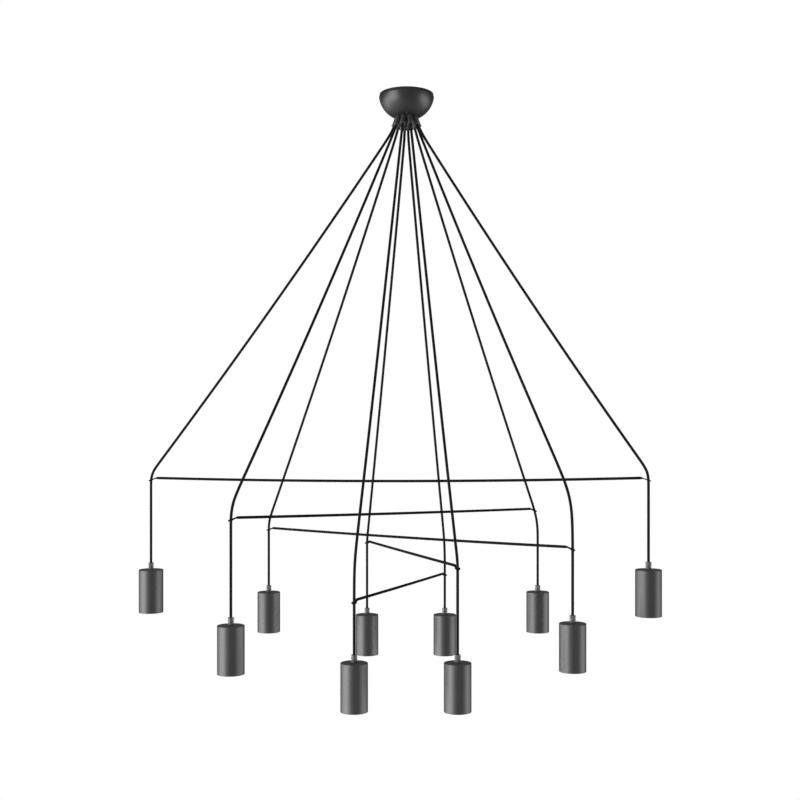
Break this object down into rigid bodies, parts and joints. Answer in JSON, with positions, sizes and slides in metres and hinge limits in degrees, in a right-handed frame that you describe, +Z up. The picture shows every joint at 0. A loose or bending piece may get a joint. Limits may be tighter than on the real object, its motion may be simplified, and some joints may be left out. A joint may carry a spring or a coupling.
{
  "type": "chandelier",
  "caption": "Chandelier whose domed canopy lets slender cords fan out over crossed spacer rods, each cord ending in an upright cylindrical lamp holder that hangs and swings freely.",
  "frame": {"origin": "middle of the ceiling bracket's top face, against the ceiling and on the canopy's axis", "axes": "+Z up to the ceiling, -Y towards the picture's viewer, +X to the picture's right"},
  "size_m": [0.968, 0.4909, 1.1078],
  "materials": {
    "bracket_steel": "zinc plated",
    "canopy_black": "matt black powder coat",
    "plate_black": "matt black",
    "screw_black": "matt black",
    "block_white": "moulded",
    "rod_black": "satin black",
    "cord_black": "matt black cable sheath",
    "grip_grey": "smoky translucent",
    "sleeve_grey": "dark grey satin powder coat",
    "socket_black": "moulded"
  },
  "bodies": {
    "frame": {"ceiling_bracket": "bracket_steel", "canopy_dome": "canopy_black", "cord_plate": "plate_black", "centre_screw": "screw_black", "terminal_block": "block_white", "spacer_rod_1": "rod_black", "spacer_rod_2": "rod_black", "spacer_rod_3": "rod_black", "spacer_rod_4": "rod_black", "spacer_rod_5": "rod_black", "upper_cord_1a": "cord_black", "upper_cord_1b": "cord_black", "upper_cord_2a": "cord_black", "upper_cord_2b": "cord_black", "upper_cord_3a": "cord_black", "upper_cord_3b": "cord_black", "upper_cord_4a": "cord_black", "upper_cord_4b": "cord_black", "upper_cord_5a": "cord_black", "upper_cord_5b": "cord_black"},
    "pendant_1a": {"drop_cord_1a": "cord_black"},
    "lamp_1a": {"cord_grip_1a": "grip_grey", "lamp_sleeve_1a": "sleeve_grey", "lamp_socket_1a": "socket_black"},
    "pendant_1b": {"drop_cord_1b": "cord_black"},
    "lamp_1b": {"cord_grip_1b": "grip_grey", "lamp_sleeve_1b": "sleeve_grey", "lamp_socket_1b": "socket_black"},
    "pendant_2a": {"drop_cord_2a": "cord_black"},
    "lamp_2a": {"cord_grip_2a": "grip_grey", "lamp_sleeve_2a": "sleeve_grey", "lamp_socket_2a": "socket_black"},
    "pendant_2b": {"drop_cord_2b": "cord_black"},
    "lamp_2b": {"cord_grip_2b": "grip_grey", "lamp_sleeve_2b": "sleeve_grey", "lamp_socket_2b": "socket_black"},
    "pendant_3a": {"drop_cord_3a": "cord_black"},
    "lamp_3a": {"cord_grip_3a": "grip_grey", "lamp_sleeve_3a": "sleeve_grey", "lamp_socket_3a": "socket_black"},
    "pendant_3b": {"drop_cord_3b": "cord_black"},
    "lamp_3b": {"cord_grip_3b": "grip_grey", "lamp_sleeve_3b": "sleeve_grey", "lamp_socket_3b": "socket_black"},
    "pendant_4a": {"drop_cord_4a": "cord_black"},
    "lamp_4a": {"cord_grip_4a": "grip_grey", "lamp_sleeve_4a": "sleeve_grey", "lamp_socket_4a": "socket_black"},
    "pendant_4b": {"drop_cord_4b": "cord_black"},
    "lamp_4b": {"cord_grip_4b": "grip_grey", "lamp_sleeve_4b": "sleeve_grey", "lamp_socket_4b": "socket_black"},
    "pendant_5a": {"drop_cord_5a": "cord_black"},
    "lamp_5a": {"cord_grip_5a": "grip_grey", "lamp_sleeve_5a": "sleeve_grey", "lamp_socket_5a": "socket_black"},
    "pendant_5b": {"drop_cord_5b": "cord_black"},
    "lamp_5b": {"cord_grip_5b": "grip_grey", "lamp_sleeve_5b": "sleeve_grey", "lamp_socket_5b": "socket_black"}
  },
  "joints": [
    {"name": "pendant_1a_swing", "type": "hinge", "parent": "frame", "child": "pendant_1a", "pos_m": [-0.49353, 0.0637, -0.7317], "axis": [0.1994, 0.9799, 0], "range_deg": [-20, 20]},
    {"name": "lamp_1a_tilt", "type": "hinge", "parent": "pendant_1a", "child": "lamp_1a", "pos_m": [-0.49353, 0.0637, -0.884], "axis": [-0.9799, 0.1994, 0], "range_deg": [-15, 15]},
    {"name": "pendant_1b_swing", "type": "hinge", "parent": "frame", "child": "pendant_1b", "pos_m": [0.42758, -0.12371, -0.7263], "axis": [-0.1994, -0.9799, 0], "range_deg": [-20, 20]},
    {"name": "lamp_1b_tilt", "type": "hinge", "parent": "pendant_1b", "child": "lamp_1b", "pos_m": [0.42758, -0.12371, -0.8638], "axis": [0.9799, -0.1994, 0], "range_deg": [-15, 15]},
    {"name": "pendant_2a_swing", "type": "hinge", "parent": "frame", "child": "pendant_2a", "pos_m": [-0.29919, -0.20722, -0.79145], "axis": [-0.592, 0.8059, 0], "range_deg": [-20, 20]},
    {"name": "lamp_2a_tilt", "type": "hinge", "parent": "pendant_2a", "child": "lamp_2a", "pos_m": [-0.29919, -0.20722, -0.94935], "axis": [-0.8059, -0.592, 0], "range_deg": [-15, 15]},
    {"name": "pendant_2b_swing", "type": "hinge", "parent": "frame", "child": "pendant_2b", "pos_m": [0.27192, 0.21252, -0.84901], "axis": [0.592, -0.8059, 0], "range_deg": [-20, 20]},
    {"name": "lamp_2b_tilt", "type": "hinge", "parent": "pendant_2b", "child": "lamp_2b", "pos_m": [0.27192, 0.21252, -0.94611], "axis": [0.8059, 0.592, 0], "range_deg": [-15, 15]},
    {"name": "pendant_3a_swing", "type": "hinge", "parent": "frame", "child": "pendant_3a", "pos_m": [-0.28424, 0.22425, -0.83965], "axis": [0.5835, 0.8121, 0], "range_deg": [-20, 20]},
    {"name": "lamp_3a_tilt", "type": "hinge", "parent": "pendant_3a", "child": "lamp_3a", "pos_m": [-0.28424, 0.22425, -0.94795], "axis": [-0.8121, 0.5835, 0], "range_deg": [-15, 15]},
    {"name": "pendant_3b_swing", "type": "hinge", "parent": "frame", "child": "pendant_3b", "pos_m": [0.28421, -0.18422, -0.84355], "axis": [-0.5835, -0.8121, 0], "range_deg": [-20, 20]},
    {"name": "lamp_3b_tilt", "type": "hinge", "parent": "pendant_3b", "child": "lamp_3b", "pos_m": [0.28421, -0.18422, -0.94935], "axis": [0.8121, -0.5835, 0], "range_deg": [-15, 15]},
    {"name": "pendant_4a_swing", "type": "hinge", "parent": "frame", "child": "pendant_4a", "pos_m": [-0.08039, 0.22, -0.8665], "axis": [0.9361, 0.3518, 0], "range_deg": [-20, 20]},
    {"name": "lamp_4a_tilt", "type": "hinge", "parent": "pendant_4a", "child": "lamp_4a", "pos_m": [-0.08039, 0.22, -0.994], "axis": [-0.3518, 0.9361, 0], "range_deg": [-15, 15]},
    {"name": "pendant_4b_swing", "type": "hinge", "parent": "frame", "child": "pendant_4b", "pos_m": [0.08496, -0.21991, -0.8723], "axis": [-0.9361, -0.3518, 0], "range_deg": [-20, 20]},
    {"name": "lamp_4b_tilt", "type": "hinge", "parent": "pendant_4b", "child": "lamp_4b", "pos_m": [0.08496, -0.21991, -1.0104], "axis": [0.3518, -0.9361, 0], "range_deg": [-15, 15]},
    {"name": "pendant_5a_swing", "type": "hinge", "parent": "frame", "child": "pendant_5a", "pos_m": [-0.08949, -0.21912, -0.93], "axis": [-0.9323, 0.3616, 0], "range_deg": [-20, 20]},
    {"name": "lamp_5a_tilt", "type": "hinge", "parent": "pendant_5a", "child": "lamp_5a", "pos_m": [-0.08949, -0.21912, -1.0105], "axis": [-0.3616, -0.9323, 0], "range_deg": [-15, 15]},
    {"name": "pendant_5b_swing", "type": "hinge", "parent": "frame", "child": "pendant_5b", "pos_m": [0.08047, 0.21907, -0.933], "axis": [0.9323, -0.3616, 0], "range_deg": [-20, 20]},
    {"name": "lamp_5b_tilt", "type": "hinge", "parent": "pendant_5b", "child": "lamp_5b", "pos_m": [0.08047, 0.21907, -0.9939], "axis": [0.3616, 0.9323, 0], "range_deg": [-15, 15]}
  ]
}
